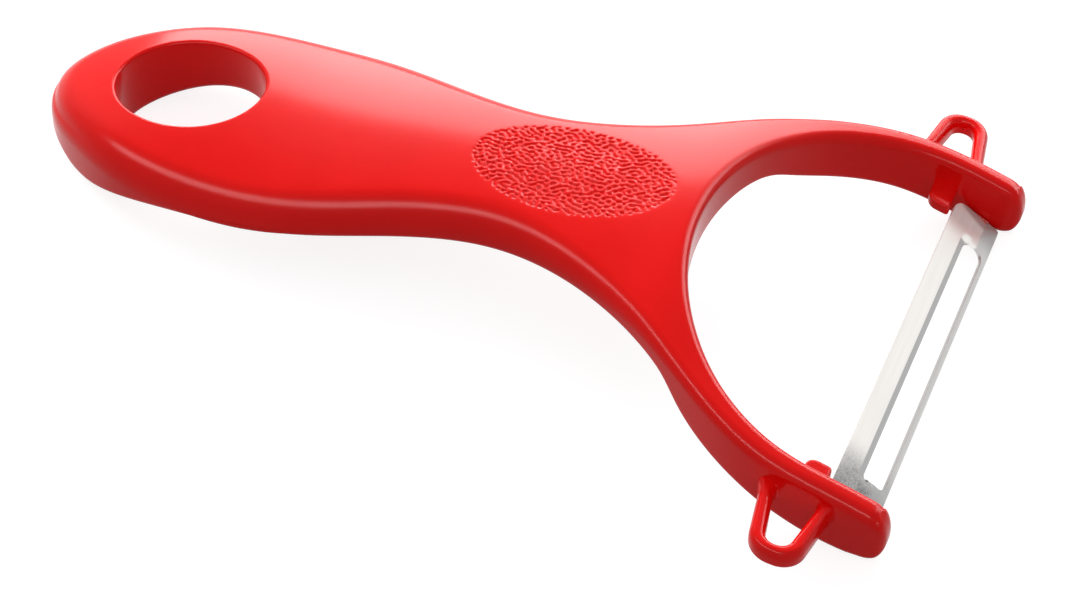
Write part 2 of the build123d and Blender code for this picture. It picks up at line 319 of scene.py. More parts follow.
class PeelerStageSettings(PropertyGroup):
    camera_place: FloatVectorProperty(
        name="Camera", description="Place of the camera", default=(0.08324, -0.20149, 0.20578), unit="LENGTH"
    )
    camera_lens: number("Lens", "Focal length in millimetres", 84.21, 1)
    clip_start: length("Clip start", "Nearest place that the camera sees", 0.001)
    floor_size: length("Floor size", "Size of the floor", 4.0)
    floor_gap: length("Floor gap", "Gap between the floor and the rest plane", 0.00005)
    floor_colour: colour("Floor colour", "Colour of the floor in the lights", (0.3, 0.3, 0.3))
    floor_glow: fraction("Floor glow", "Brightness of the floor before the lights", 0.86)
    light_distance: length("Light distance", "Distance of the soft boxes", 0.7)
    light_width: length("Light width", "Width of the soft boxes", 1.3)
    light_height: length("Light height", "Height of the soft boxes", 0.38)
    strip_height: length("Strip light height", "Height of the narrow soft box", 0.15)
    key_power: number("Key light", "Power of the soft light", 7.2)
    sheen_power: number("Sheen light", "Power of the reflected soft box", 13.0)
    strip_power: number("Strip light", "Power of the narrow soft box", 6.4)
    fill_strength: fraction("Fill", "Strength of the surrounding light", 0.56)


class PeelerSettings(PropertyGroup):
    handle: PointerProperty(name="Handle", description="Sizes of the handle", type=PeelerHandleSettings)
    loop: PointerProperty(name="Loops", description="Sizes of the loops", type=PeelerLoopSettings)
    lug: PointerProperty(name="Lugs", description="Sizes of the lugs", type=PeelerLugSettings)
    blade: PointerProperty(name="Blade", description="Sizes of the blade", type=PeelerBladeSettings)
    finish: PointerProperty(name="Finishes", description="Colours and gloss", type=PeelerFinishSettings)
    stage: PointerProperty(name="Stage", description="Camera, floor and lights", type=PeelerStageSettings)

    @property
    def pivot_x(self):
        """X of the blade's pivot."""
        return self.handle.tip_x - self.blade.pivot_from_tip

    @property
    def blade_half(self):
        """Half of the blade's length."""
        return self.handle.window_half - self.blade.side_gap


def settings():
    """Settings of this scene."""
    return bpy.context.scene.peeler


class SmoothCurve:
    """Natural cubic spline through points, measured along its chords."""

    def __init__(self, points):
        self.points = np.array(points, float)
        steps = np.linalg.norm(np.diff(self.points, axis=0), axis=1)
        self.knots = np.concatenate(([0.0], np.cumsum(steps)))
        count = len(self.points)
        matrix = np.eye(count)
        right = np.zeros_like(self.points)
        for row in range(1, count - 1):
            before = steps[row - 1]
            after = steps[row]
            matrix[row, row - 1] = before
            matrix[row, row] = 2 * (before + after)
            matrix[row, row + 1] = after
            rise_after = (self.points[row + 1] - self.points[row]) / after
            rise_before = (self.points[row] - self.points[row - 1]) / before
            right[row] = 6 * (rise_after - rise_before)
        self.bends = np.linalg.solve(matrix, right)

    def samples(self, count):
        """Evenly spread points along the curve."""
        places = np.linspace(0, self.knots[-1], count)
        spans = np.clip(np.searchsorted(self.knots, places) - 1, 0, len(self.knots) - 2)
        step = (self.knots[spans + 1] - self.knots[spans])[:, None]
        after = (places - self.knots[spans])[:, None] / step
        before = 1 - after
        bend = (before**3 - before) * self.bends[spans] + (after**3 - after) * self.bends[spans + 1]
        return before * self.points[spans] + after * self.points[spans + 1] + bend * step**2 / 6


def height_line(points):
    """Function that gives the height of a side-view curve at any X."""
    line = SmoothCurve(points).samples(SIDE_VIEW_POINTS)

    def height(x):
        return np.interp(x, line[:, 0], line[:, 1])

    return height


def link(name, data):
    """New object in the scene."""
    obj = bpy.data.objects.new(name, data)
    bpy.context.scene.collection.objects.link(obj)
    return obj


def rounding(distance, radius):
    """Drop of a rounded edge at this distance inside the edge."""
    inside = np.clip(radius - distance, 0, radius)
    return radius - np.sqrt(np.maximum(radius**2 - inside**2, 0))


def smooth_step(low, high, value):
    """Smooth share of the way from low to high."""
    share = np.clip((value - low) / (high - low), 0, 1)
    return share * share * (3 - 2 * share)


def spaced_loop(loop, step):
    """Closed loop with new points, spaced by a step or by a function that gives the step at each place."""
    closed = np.vstack([loop, loop[:1]])
    lengths = np.linalg.norm(np.diff(closed[:, :2], axis=0), axis=1)
    closed = closed[np.concatenate((lengths > TINY, [True]))]
    lengths = np.linalg.norm(np.diff(closed[:, :2], axis=0), axis=1)
    if callable(step):
        step = step((closed[1:] + closed[:-1]) / 2)
    amounts = np.concatenate(([0.0], np.cumsum(lengths / step)))
    count = int(round(amounts[-1]))
    wanted = np.arange(count) * amounts[-1] / count
    return np.column_stack([np.interp(wanted, amounts, column) for column in closed.T])


def arc(x, y, radius, start, stop, count=ARC_POINTS):
    """Points of an arc round a centre."""
    turns = np.linspace(start, stop, count)
    return np.column_stack([x + radius * np.cos(turns), y + radius * np.sin(turns)])


def circle(x, y, radius, count):
    """Anticlockwise circle."""
    return arc(x, y, radius, 0, 2 * math.pi, count + 1)[:-1]


def rounded_rectangle(low, high, radii):
    """Anticlockwise rounded rectangle; radii start at the lower left corner and run anticlockwise."""
    corners = (low, (high[0], low[1]), high, (low[0], high[1]))
    inward = ((1, 1), (-1, 1), (-1, -1), (1, -1))
    arcs = []
    for index, (corner, (right, up), radius) in enumerate(zip(corners, inward, radii)):
        start = math.pi + index * math.pi / 2
        centre_x = corner[0] + right * radius
        centre_y = corner[1] + up * radius
        arcs.append(arc(centre_x, centre_y, radius, start, start + math.pi / 2))
    return np.vstack(arcs)


def ellipse(centre_x, long_radius, short_radius, step):
    """Anticlockwise ellipse."""
    count = int(2 * math.pi * math.sqrt((long_radius**2 + short_radius**2) / 2) / step)
    turns = np.linspace(0, 2 * math.pi, count, endpoint=False)
    return np.column_stack([centre_x + long_radius * np.cos(turns), short_radius * np.sin(turns)])


def loop_normals(loop):
    """Outward normals of a closed loop that runs anticlockwise."""
    tangents = np.roll(loop, -1, 0) - np.roll(loop, 1, 0)
    normals = np.stack([tangents[:, 1], -tangents[:, 0]], -1)
    return normals / np.linalg.norm(normals, axis=1)[:, None]


def inside_loop(points, loop):
    """Which points lie inside a closed loop."""
    result = np.zeros(len(points), bool)
    following = np.roll(loop, -1, 0)
    for start, end in zip(loop, following):
        crosses = (start[1] > points[:, 1]) != (end[1] > points[:, 1])
        if not crosses.any():
            continue
        slope = (end[0] - start[0]) / (end[1] - start[1])
        reach = start[0] + (points[crosses, 1] - start[1]) * slope
        result[crosses] ^= points[crosses, 0] < reach
    return result


def between_loops(points, loops):
    """Which points lie inside the first loop and outside the others."""
    result = inside_loop(points, loops[0])
    for hole in loops[1:]:
        result &= ~inside_loop(points, hole)
    return result


def on_side(loop, side):
    """Loop on its side of the handle: as it is for 1, mirrored and still anticlockwise for -1."""
    return loop if side > 0 else loop[::-1] * (1, -1)


def nearest_distance(points, others):
    """Distance from each point to the nearest of the others, worked out in blocks to save memory."""
    block_size = 2000
    result = np.full(len(points), np.inf)
    for block in np.array_split(np.arange(len(points)), max(1, len(points) // block_size)):
        gaps = points[block, None, :] - others[None, :, :]
        result[block] = np.sqrt((gaps**2).sum(-1)).min(1)
    return result


def clear_of(points, loops, gap):
    """Points that keep a gap from every loop."""
    for loop in loops:
        points = points[nearest_distance(points, loop) > gap]
    return points


def hex_points(low, high, step):
    """Points of a triangular grid that fills a box."""
    rows = np.arange(low[1], high[1], step * math.sqrt(3) / 2)
    points = []
    for index, y in enumerate(rows):
        xs = np.arange(low[0] + (index % 2) * step / 2, high[0], step)
        points.append(np.stack([xs, np.full_like(xs, y)], -1))
    return np.vstack(points)


class MeshParts:
    """Vertices and faces that are gathered into one mesh."""

    def __init__(self):
        self.vertices = []
        self.faces = []
        self.count = 0

    def add(self, points):
        """Adds vertices and returns their numbers."""
        start = self.count
        self.vertices.append(np.asarray(points, float))
        self.count += len(points)
        return np.arange(start, self.count)

    def band(self, first, second, flipped=False):
        """Quads between two closed rings of vertices."""
        if flipped:
            first, second = second, first
        following = np.roll(np.arange(len(first)), -1)
        for here, there in enumerate(following):
            self.faces.append((first[here], first[there], second[there], second[here]))

    def object(self, name, material):
        """Smooth shaded object in the scene."""
        mesh = bpy.data.meshes.new(name)
        faces = [tuple(map(int, face)) for face in self.faces]
        mesh.from_pydata(np.vstack(self.vertices).tolist(), [], faces)
        mesh.polygons.foreach_set("use_smooth", [True] * len(mesh.polygons))
        mesh.materials.append(material)
        mesh.update()
        return link(name, mesh)


def cap(parts, ends, height, grid, facing_up):
    """Fills the space between rings of vertices with triangles that follow a height function."""
    rings, loops = zip(*ends)
    ring_points = np.vstack(loops)
    ring_indices = np.concatenate(rings)
    grid = grid[between_loops(grid, loops)]
    edges = []
    start = 0
    for loop in loops:
        size = len(loop)
        edges += [(start + index, start + (index + 1) % size) for index in range(size)]
        start += size
    all_points = np.vstack([ring_points, grid])
    result = delaunay_2d_cdt([Vector(point) for point in all_points], edges, [], 0, TINY)
    if len(result[0]) != len(all_points):
        raise RuntimeError("the triangulation merged points")
    new = parts.add(np.column_stack([grid, height(grid[:, 0], grid[:, 1])]))
    indices = np.concatenate([ring_indices, new])
    order = np.array([origins[0] for origins in result[3]])
    triangles = order[np.array(result[2])]
    centres = all_points[triangles].mean(1)
    for triangle in triangles[between_loops(centres, loops)]:
        a, b, c = all_points[triangle]
        anticlockwise = (b[0] - a[0]) * (c[1] - a[1]) > (b[1] - a[1]) * (c[0] - a[0])
        corners = indices[triangle]
        parts.faces.append(tuple(corners if anticlockwise == facing_up else corners[::-1]))


def slab(parts, loops, heights, radii, grids, detail, stretch=1.0, dent=None):
    """Rounded slab between loops that are seen from above, the first of them round the outside.

    The heights, the radii of each loop's edge and the grids of points are pairs: top and underside.
    """
    top, under = heights
    top_ends = []
    under_ends = []
    for index, loop in enumerate(loops):
        outward = loop_normals(loop) * (1 if index == 0 else -1)
        upper, lower = [np.broadcast_to(edges[index], len(loop)) for edges in radii]
        rings = []
        for turn in np.linspace(math.pi / 2, 0, detail):
            place = loop - outward * (upper * (1 - math.cos(turn)))[:, None]
            height = top(*place.T) - upper * stretch * (1 - math.sin(turn))
            if dent and index == 0:
                height = height - dent(loop, turn)
            rings.append((place, height))
        wall_top = rings[-1][1]
        wall_foot = under(*loop.T) + lower
        for share in WALL_SHARES:
            rings.append((loop, wall_top + (wall_foot - wall_top) * share))
        for turn in np.linspace(0, math.pi / 2, detail):
            place = loop - outward * (lower * (1 - math.cos(turn)))[:, None]
            rings.append((place, under(*place.T) + lower * (1 - math.sin(turn))))
        placed = [parts.add(np.column_stack([place, height])) for place, height in rings]
        for first, second in zip(placed[:-1], placed[1:]):
            parts.band(first, second, flipped=index == 0)
        top_ends.append((placed[0], rings[0][0]))
        under_ends.append((placed[-1], rings[-1][0]))
    cap(parts, top_ends, top, grids[0], True)
    cap(parts, under_ends, under, grids[1], False)


def attach(obj, body):
    """Lets a piece ride on a body."""
    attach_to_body(obj, body)


def handle_outline(size):
    """Closed outline of the handle, with the radius of the back's edge at each point."""
    hang_x = size.hang_x
    tip_x = size.tip_x
    points = [(hang_x, 0.0)]
    for share, width in zip(GRIP_SHARES, GRIP_WIDTH_SHARES):
        points.append((hang_x + size.handle_length * share, size.grip_half_width * width))
    grip_end_x = points[-1][0]
    window_x = tip_x - size.window_depth
    flare = size.fork_half_width - size.neck_half_width
    for share, width in zip(NECK_SHARES, NECK_WIDTH_SHARES):
        points.append((grip_end_x + (window_x - grip_end_x) * share, size.neck_half_width + flare * width))
    for share, width in zip(FORK_SHARES, FORK_WIDTH_SHARES):
        points.append((tip_x - size.window_depth * share, size.neck_half_width + flare * width))
    mirrored = [(x, -y) for x, y in reversed(points[1:])]
    outer = SmoothCurve(mirrored + points).samples(OUTLINE_POINTS)
    outer = outer[outer[:, 0] < tip_x - size.tip_plan_radius]

    points = [(tip_x + size.arm_thickness, size.window_half)]
    for share, width in zip(WINDOW_SHARES, WINDOW_WIDTH_SHARES):
        points.append((tip_x - size.window_depth * share, size.window_half * width))
    mirrored = [(x, -y) for x, y in reversed(points)]
    inner = SmoothCurve(points + [(window_x, 0.0)] + mirrored).samples(WINDOW_POINTS)
    inner = inner[inner[:, 0] < tip_x - size.tip_plan_radius]

    fade = smooth_step(0.0, window_x + size.arm_thickness * 2, outer[:, 0])
    radii = size.grip_edge_radius + (size.arm_edge_radius - size.grip_edge_radius) * fade
    outer = np.column_stack([outer, radii])
    inner = np.column_stack([inner, np.full(len(inner), size.window_edge_radius)])
    tip_edge_radius = min(size.window_edge_radius, size.tip_plan_radius * TIP_EDGE_SHARE)

    def corner(y, start, stop):
        points = arc(tip_x - size.tip_plan_radius, y, size.tip_plan_radius, start, stop, TIP_POINTS)
        return np.column_stack([points, np.full(TIP_POINTS, tip_edge_radius)])

    outer_y = size.fork_half_width - size.tip_plan_radius
    inner_y = size.window_half + size.tip_plan_radius
    right_angle = math.pi / 2
    # The outer curve runs clockwise round the hang end, so the loop is put together backwards
    loop = np.vstack(
        [
            outer,
            corner(outer_y, right_angle, 0),
            corner(inner_y, 0, -right_angle),
            inner,
            corner(-inner_y, right_angle, 0),
            corner(-outer_y, 0, -right_angle),
        ]
    )
    return loop[::-1]


def wrinkle_field(size):
    """Worm-like wrinkles as a function of X and Y from the middle of the thumb rest, from -1 to 1."""
    step = size.wrinkle_pitch / WRINKLE_CELLS
    rows = int(size.rest_width / step) + 2 * SPARE_CELLS
    columns = int(size.rest_length / step) + 2 * SPARE_CELLS
    noise = np.random.default_rng(WRINKLE_SEED).standard_normal((rows, columns))
    across = np.fft.fftfreq(columns, step)[None, :] * WRINKLE_STRETCH_SHARES[0]
    along = np.fft.fftfreq(rows, step)[:, None] * WRINKLE_STRETCH_SHARES[1]
    # Only waves near the wanted pitch pass, and the result is sharpened
    offset = (np.sqrt(across**2 + along**2) * size.wrinkle_pitch - 1) / WRINKLE_BAND_SHARE
    field = np.real(np.fft.ifft2(np.fft.fft2(noise) * np.exp(-(offset**2))))
    field = np.tanh(WRINKLE_SHARPNESS * (field / field.std() + WRINKLE_LEVEL))

    def at(x, y):
        column = np.clip((x + size.rest_length / 2) / step + SPARE_CELLS, 0, columns - 2)
        row = np.clip((y + size.rest_width / 2) / step + SPARE_CELLS, 0, rows - 2)
        left = column.astype(int)
        low = row.astype(int)
        right_share = column - left
        upper_share = row - low
        lower = field[low, left] * (1 - right_share) + field[low, left + 1] * right_share
        upper = field[low + 1, left] * (1 - right_share) + field[low + 1, left + 1] * right_share
        return lower * (1 - upper_share) + upper * upper_share

    return at


def handle_heights(size):
    """Height functions of the back and the underside."""
    rise = size.back_height - size.hang_end_height

    def along(shares, heights):
        return [(size.hang_x + size.handle_length * share, height) for share, height in zip(shares, heights)]

    back_heights = [size.hang_end_height + rise * share for share in BACK_RISE_SHARES]
    back = height_line(along(BACK_SHARES, back_heights))
    crown_heights = [size.handle_length * share for share in BACK_CROWN_SHARES]
    crown = height_line(along(BACK_SHARES, crown_heights))
    under_heights = [size.back_height * share for share in UNDER_HEIGHT_SHARES + ARM_UNDER_HEIGHT_SHARES]
    first = (size.hang_x - size.arm_thickness, -size.rest_flat_depth)
    last = (size.tip_x + size.arm_thickness, -size.rest_flat_depth)
    belly = height_line([first, *along(UNDER_SHARES + ARM_UNDER_SHARES, under_heights), last])
    rest_x = size.hang_x + size.rest_from_end
    wrinkles = wrinkle_field(size)

    def thumb_rest(x, y):
        reach = np.hypot((x - rest_x) / (size.rest_length / 2), y / (size.rest_width / 2))
        dish = 1 - smooth_step(DISH_START_SHARE, DISH_END_SHARE, reach)
        fade = 1 - smooth_step(WRINKLE_FADE_SHARE, 1.0, reach)
        waves = (wrinkles(x - rest_x, y) - 1) / 2
        return -size.rest_depth * dish + size.wrinkle_depth * fade * waves

    def top(x, y):
        drop = crown(x) / size.handle_length * y**2 / (2 * size.crown_radius)
        tip = rounding(size.tip_x - x, size.tip_corner_radius)
        return back(x) - drop - tip + thumb_rest(x, y)

    def under(x, y):
        tip = rounding(size.tip_x - x, size.tip_corner_radius)
        return np.maximum(belly(x), 0) + tip

    return top, under


def cut_sockets(handle):
    """Cuts a cavity for each pivot stub into the arms, behind a skin of plastic."""
    size = settings().handle
    blade = settings().blade
    xs, zs = circle(settings().pivot_x, blade.pivot_height, blade.socket_radius, SOCKET_POINTS).T
    start = size.window_half + blade.socket_skin
    reach = size.window_half + blade.socket_depth
    parts = MeshParts()
    for span in ((-reach, -start), (start, reach)):
        low, high = [parts.add(np.column_stack([xs, np.full(SOCKET_POINTS, y), zs])) for y in span]
        parts.band(low, high)
        parts.faces += [low[::-1], high]
    cutter = parts.object("socket_cutter", handle.data.materials[0])
    change = handle.modifiers.new("sockets", "BOOLEAN")
    change.operation = "DIFFERENCE"
    change.solver = "EXACT"
    change.object = cutter
    bpy.context.view_layer.update()
    graph = bpy.context.evaluated_depsgraph_get()
    cut = bpy.data.meshes.new_from_object(handle.evaluated_get(graph))
    handle.modifiers.clear()
    handle.data = cut
    bpy.data.objects.remove(cutter)
    if not len(cut.polygons):
        raise RuntimeError("the sockets could not be cut")


def build_handle(material):
    """Handle moulding: grip, neck and fork, with the hang hole, the window and the thumb rest."""
    size = settings().handle
    hang_x = size.hang_x
    step = size.mesh_step
    hole_step = step * 0.6
    rim_gap = step * 0.55
    under_gap = step * 1.6
    ring_margin = step * 1.5
    coarse_margin = step * 2

    def step_at(places):
        return np.where(places[:, 0] > size.tip_x - size.arm_thickness, step / 4, step)

    outline = spaced_loop(handle_outline(size), step_at)
    top_radii = outline[:, 2]
    outline = outline[:, :2]
    nose = 1 - smooth_step(hang_x + size.nose_start, hang_x + size.nose_end, outline[:, 0])
    under_radii = size.under_edge_radius * (1 + NOSE_ROUNDING_SHARE * nose)
    hole = ellipse(hang_x + size.hole_from_end, size.hole_length / 2, size.hole_width / 2, hole_step)
    inner_ring = outline - loop_normals(outline) * top_radii[:, None]
    hole_ring = hole + loop_normals(hole) * size.hole_edge_radius
    rest = np.array((hang_x + size.rest_from_end, 0))
    rest_half = np.array((size.rest_length, size.rest_width)) / 2

    def rest_reach(points, margin):
        return np.hypot(*((points - rest) / (rest_half + margin)).T)

    # The mesh is finest on the thumb rest, finer in a ring round it, and coarse elsewhere
    fine = hex_points(rest - rest_half, rest + rest_half, size.wrinkle_step)
    fine = fine[rest_reach(fine, 0) < 1]
    ring = hex_points(rest - rest_half * 2, rest + rest_half * 2, step / 3)
    ring = ring[(rest_reach(ring, ring_margin) < 1) & (rest_reach(ring, size.rest_gap) > 1)]
    every = hex_points((hang_x, -size.fork_half_width), (size.tip_x, size.fork_half_width), step)
    coarse = clear_of(every, (inner_ring, hole_ring), rim_gap)
    coarse = coarse[rest_reach(coarse, coarse_margin) > 1]
    top_grid = np.vstack([coarse, ring, fine])
    under_grid = clear_of(every, (outline, hole), under_gap)

    def crease(loop, turn):
        """Depth of the crease that runs round the hang end at the edge of the back."""
        near_end = 1 - smooth_step(hang_x + size.crease_length / 2, hang_x + size.crease_length, loop[:, 0])
        far_side = smooth_step(-size.crease_length, -size.crease_length / 3, loop[:, 1])
        groove = math.exp(-(((turn - size.crease_turn) / size.crease_spread) ** 2))
        return size.crease_depth * near_end * far_side * groove

    parts = MeshParts()
    radii = ((top_radii, size.hole_edge_radius), (under_radii, size.under_edge_radius))
    slab(parts, (outline, hole), handle_heights(size), radii, (top_grid, under_grid), detail=21, dent=crease)
    obj = parts.object("handle_moulding", material)
    cut_sockets(obj)
    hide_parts("handle")
    attach(obj, "handle")


def tapered_loop(root_half, tip_half, reach, radius, root_y, flare, outwards):
    """Tapered loop with a rounded tip, root first; the flare widens or narrows the root."""
    lean = math.atan2(root_half - tip_half, reach)
    cut = radius * math.tan((math.pi / 2 - lean) / 2)
    side = np.array([-math.sin(lean), math.cos(lean)])
    corner = np.array([tip_half, reach])
    centre = corner - side * cut - np.array([math.cos(lean), math.sin(lean)]) * radius
    tip = arc(*centre, radius, lean, math.pi / 2, LOOP_TIP_POINTS)
    root_radius = radius / 2
    ys = np.linspace(root_y + root_radius, tip[0, 1], LOOP_SIDE_POINTS)[:-1]
    widening = outwards * flare * (1 - smooth_step(-2 * flare, 4 * flare, ys))
    xs = tip[0, 0] + (tip[0, 1] - ys) * math.tan(lean) + widening
    root = arc(xs[0] - root_radius, root_y + root_radius, root_radius, -math.pi / 2, 0, LOOP_ROOT_POINTS)[:-1]
    half = np.vstack([root, np.column_stack([xs, ys]), tip])
    return np.vstack([half, half[::-1] * (-1, 1)])


def build_loop(name, side, material):
    """Loop outside an arm, for taking out eyes; the side is 1 or -1 along Y."""
    size = settings().handle
    loop = settings().loop
    centre_x = size.tip_x - loop.from_tip
    wall_y = size.fork_half_width - loop.root_inset
    root_y = -size.arm_thickness * LOOP_ROOT_SHARE

    def closed(inset, outwards):
        root_half = loop.root_width / 2 - inset
        tip_half = loop.tip_width / 2 - inset
        reach = loop.reach - inset
        radius = loop.tip_radius - inset
        points = tapered_loop(root_half, tip_half, reach, radius, root_y + inset, loop.flare, outwards)
        return spaced_loop(on_side(points + (centre_x, wall_y), side), loop.mesh_step)

    loops = (closed(0, 1), closed(loop.bar_width, -1))
    slope = math.tan(loop.tilt)

    def middle(x):
        return loop.height - slope * (x - centre_x)

    def half_thickness(y):
        swell = 1 - smooth_step(-loop.flare, loop.flare, side * y - wall_y)
        return loop.bar_thickness / 2 + loop.flare * LOOP_SWELL_SHARE * swell

    def top(x, y):
        return middle(x) + half_thickness(y)

    def under(x, y):
        return middle(x) - half_thickness(y)

    every = hex_points(loops[0].min(0), loops[0].max(0), loop.mesh_step)
    edge_radii = (loop.edge_radius, loop.edge_radius / 2)
    rim_gap = loop.mesh_step * 0.4
    grids = [clear_of(every, loops, radius + rim_gap) for radius in edge_radii]
    radii = [(radius, radius) for radius in edge_radii]
    parts = MeshParts()
    slab(parts, loops, (top, under), radii, grids, detail=7, stretch=loop.edge_stretch)
    attach(parts.object(name, material), "handle")


def build_lug(name, side, material):
    """Lug inside an arm, behind the blade; the side is 1 or -1 along Y."""
    size = settings().handle
    lug = settings().lug
    front_x = settings().pivot_x - lug.from_pivot
    low = (front_x - lug.length, size.window_half - lug.reach)
    high = (front_x, size.window_half + size.arm_thickness / 2)
    front = lug.front_radius
    outline = rounded_rectangle(low, high, (lug.corner_radius, front, front, front))
    outline = spaced_loop(on_side(outline, side), lug.mesh_step)
    front_top = settings().blade.pivot_height + lug.above_pivot

    def top(x, y):
        return front_top + lug.rise * (front_x - x) / lug.length

    def under(x, y):
        return top(x, y) - lug.thickness

    inner_step = lug.mesh_step * 1.5
    rim_gap = lug.mesh_step * 0.6
    grid = hex_points(outline.min(0), outline.max(0), inner_step)
    grid = clear_of(grid, [outline], lug.edge_radius + rim_gap)
    radii = [lug.edge_radius]
    parts = MeshParts()
    slab(parts, [outline], (top, under), (radii, radii), (grid, grid), detail=6)
    attach(parts.object(name, material), "handle")


def fold_strip(blade):
    """Function that gives X, Z and the direction of the thickness at a place across the folded strip."""
    fold = blade.rear_panel_width
    rear = blade.rear_panel_tilt
    front = blade.guard_panel_tilt
    half = blade.fold_radius * (front - rear) / 2
    start_x = settings().pivot_x - blade.rear_edge_from_pivot
    start_z = blade.pivot_height + blade.rear_edge_above_pivot

    def place(across):
        before = np.minimum(across, fold - half)
        bend = np.clip(across - (fold - half), 0, 2 * half)
        after = np.maximum(across - (fold + half), 0)
        turned = (front - rear) * bend / (2 * half)
        middle = rear + turned / 2
        x = start_x + before * math.cos(rear) + bend * np.cos(middle) + after * math.cos(front)
        z = start_z - before * math.sin(rear) - bend * np.sin(middle) - after * math.sin(front)
        return x, z, np.sin(rear + turned), np.cos(rear + turned)

    return place


def build_blade(material):
    """Folded steel strip with its slot, its ground bevel and its bent down ends."""
    blade = settings().blade
    half_length = settings().blade_half
    thickness = blade.steel_thickness
    step = blade.mesh_step
    slot_step = step * 0.7
    line_step = step * 0.6
    line_gap = step * 0.45
    rim_gap = step * 0.3
    width = blade.rear_panel_width + blade.guard_panel_width
    rear = blade.rear_corner_radius
    guard = blade.guard_corner_radius
    outer = rounded_rectangle((0, -half_length), (width, half_length), (rear, guard, guard, rear))
    outer = spaced_loop(outer, step)
    slot_half = half_length - blade.slot_end_margin
    slot_rear = blade.rear_strip_width
    slot_front = width - blade.guard_strip_width
    corner = blade.slot_corner_radius
    wide = blade.slot_front_radius
    slot = rounded_rectangle((slot_rear, -slot_half), (slot_front, slot_half), (corner, wide, wide, corner))
    slot = spaced_loop(slot, slot_step)
    bevel_start = slot_rear - blade.bevel_width
    bevel_end = slot_rear + thickness

    def top(across, along):
        ground = np.clip((across - bevel_start) / blade.bevel_width, 0, 1) * (across < bevel_end)
        held = 1 - smooth_step(slot_half - thickness, slot_half + thickness * 2, np.abs(along))
        return thickness / 2 - blade.bevel_depth * ground * held

    def under(across, along):
        return np.full_like(across, -thickness / 2)

    # Rows of points follow the bevel's edge and the fold
    bend = blade.fold_radius * (blade.guard_panel_tilt - blade.rear_panel_tilt)
    places = [bevel_start + thickness * share for share in BEVEL_LINE_SHARES]
    places += [blade.rear_panel_width + bend * share for share in FOLD_LINE_SHARES]
    rows = np.arange(-half_length, half_length, line_step)
    lines = np.vstack([np.column_stack([np.full_like(rows, across), rows]) for across in places])
    grid = hex_points(outer.min(0), outer.max(0), step)
    grid = np.vstack([clear_of(grid, [lines], line_gap), lines])
    grid = clear_of(grid, (outer, slot), blade.edge_radius + rim_gap)
    radii = (blade.edge_radius, blade.edge_radius)
    parts = MeshParts()
    slab(parts, (outer, slot), (top, under), (radii, radii), (grid, grid), detail=4)

    across, along, lift = np.vstack(parts.vertices).T
    x, z, lean_x, lean_z = fold_strip(blade)(across)
    before = np.clip(across / blade.rear_panel_width, 0, 1) ** blade.ear_curve
    after = np.clip((across - blade.rear_panel_width) / blade.guard_panel_width, 0, 1)
    reach = before * (1 - after * blade.ear_guard_share)
    bent = np.abs(along) - (half_length - blade.ear_length * reach)
    soft = blade.ear_bend_radius
    drop = np.where(bent > soft, bent - soft / 2, np.maximum(bent, 0) ** 2 / (2 * soft))
    z = z + (lift - thickness / 2) * lean_z - drop * math.tan(blade.ear_tilt)
    parts.vertices = [np.column_stack([x + lift * lean_x, along, z])]
    obj = parts.object("blade_strip", material)
    ground = (across > bevel_start) & (across < bevel_end) & (np.abs(along) < slot_half)
    # Masks for the steel: along places the painted dark reflection near one end, guard and end place painted
    # shade
    layers = {
        "along": along / half_length,
        "ground": ground & (lift > -thickness / 4),
        "guard": np.clip((across - blade.rear_panel_width) / bend + 0.5, 0, 1),
        "end": np.clip(bent / soft, 0, 1),
    }
    for name, values in layers.items():
        layer = obj.data.attributes.new(name, "FLOAT", "POINT")
        layer.data.foreach_set("value", values.astype(np.float32))
    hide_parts("blade")
    attach(obj, "blade")


def build_stub(name, side, material):
    """Ear and pivot stub at one end of the blade; the side is 1 or -1 along Y."""
    blade = settings().blade
    edge = blade.edge_radius
    end = settings().blade_half
    ear_start = end - blade.steel_thickness
    stub_start = end + blade.side_gap + blade.socket_skin + edge
    stub_end = end + blade.stub_length
    # Radius and place along Y of each ring; the stub starts behind the skin of the arm
    profile = [
        (0.0, ear_start),
        (blade.ear_radius - edge, ear_start),
        (blade.ear_radius, ear_start + edge),
        (blade.ear_radius, end - edge),
        (blade.ear_radius - edge, end),
        (0.0, end),
        (0.0, stub_start),
        (blade.stub_radius, stub_start),
        (blade.stub_radius, stub_end - edge),
        (blade.stub_radius - edge, stub_end),
        (0.0, stub_end),
    ]
    slope = math.tan(blade.rear_panel_tilt)
    parts = MeshParts()
    rings = []
    for radius, reach in profile:
        across, lift = circle(0, 0, radius, STUB_POINTS).T
        if reach <= end:
            lift = np.minimum(lift, -blade.ear_drop - slope * across)
        ys = np.full(STUB_POINTS, side * reach)
        rings.append(parts.add(np.column_stack([settings().pivot_x + across, ys, blade.pivot_height + lift])))
    for index, (first, second) in enumerate(zip(rings[:-1], rings[1:])):
        if profile[index][0] == profile[index + 1][0] == 0:
            continue
        parts.band(first, second, flipped=side > 0)
    attach(parts.object(name, material), "blade")


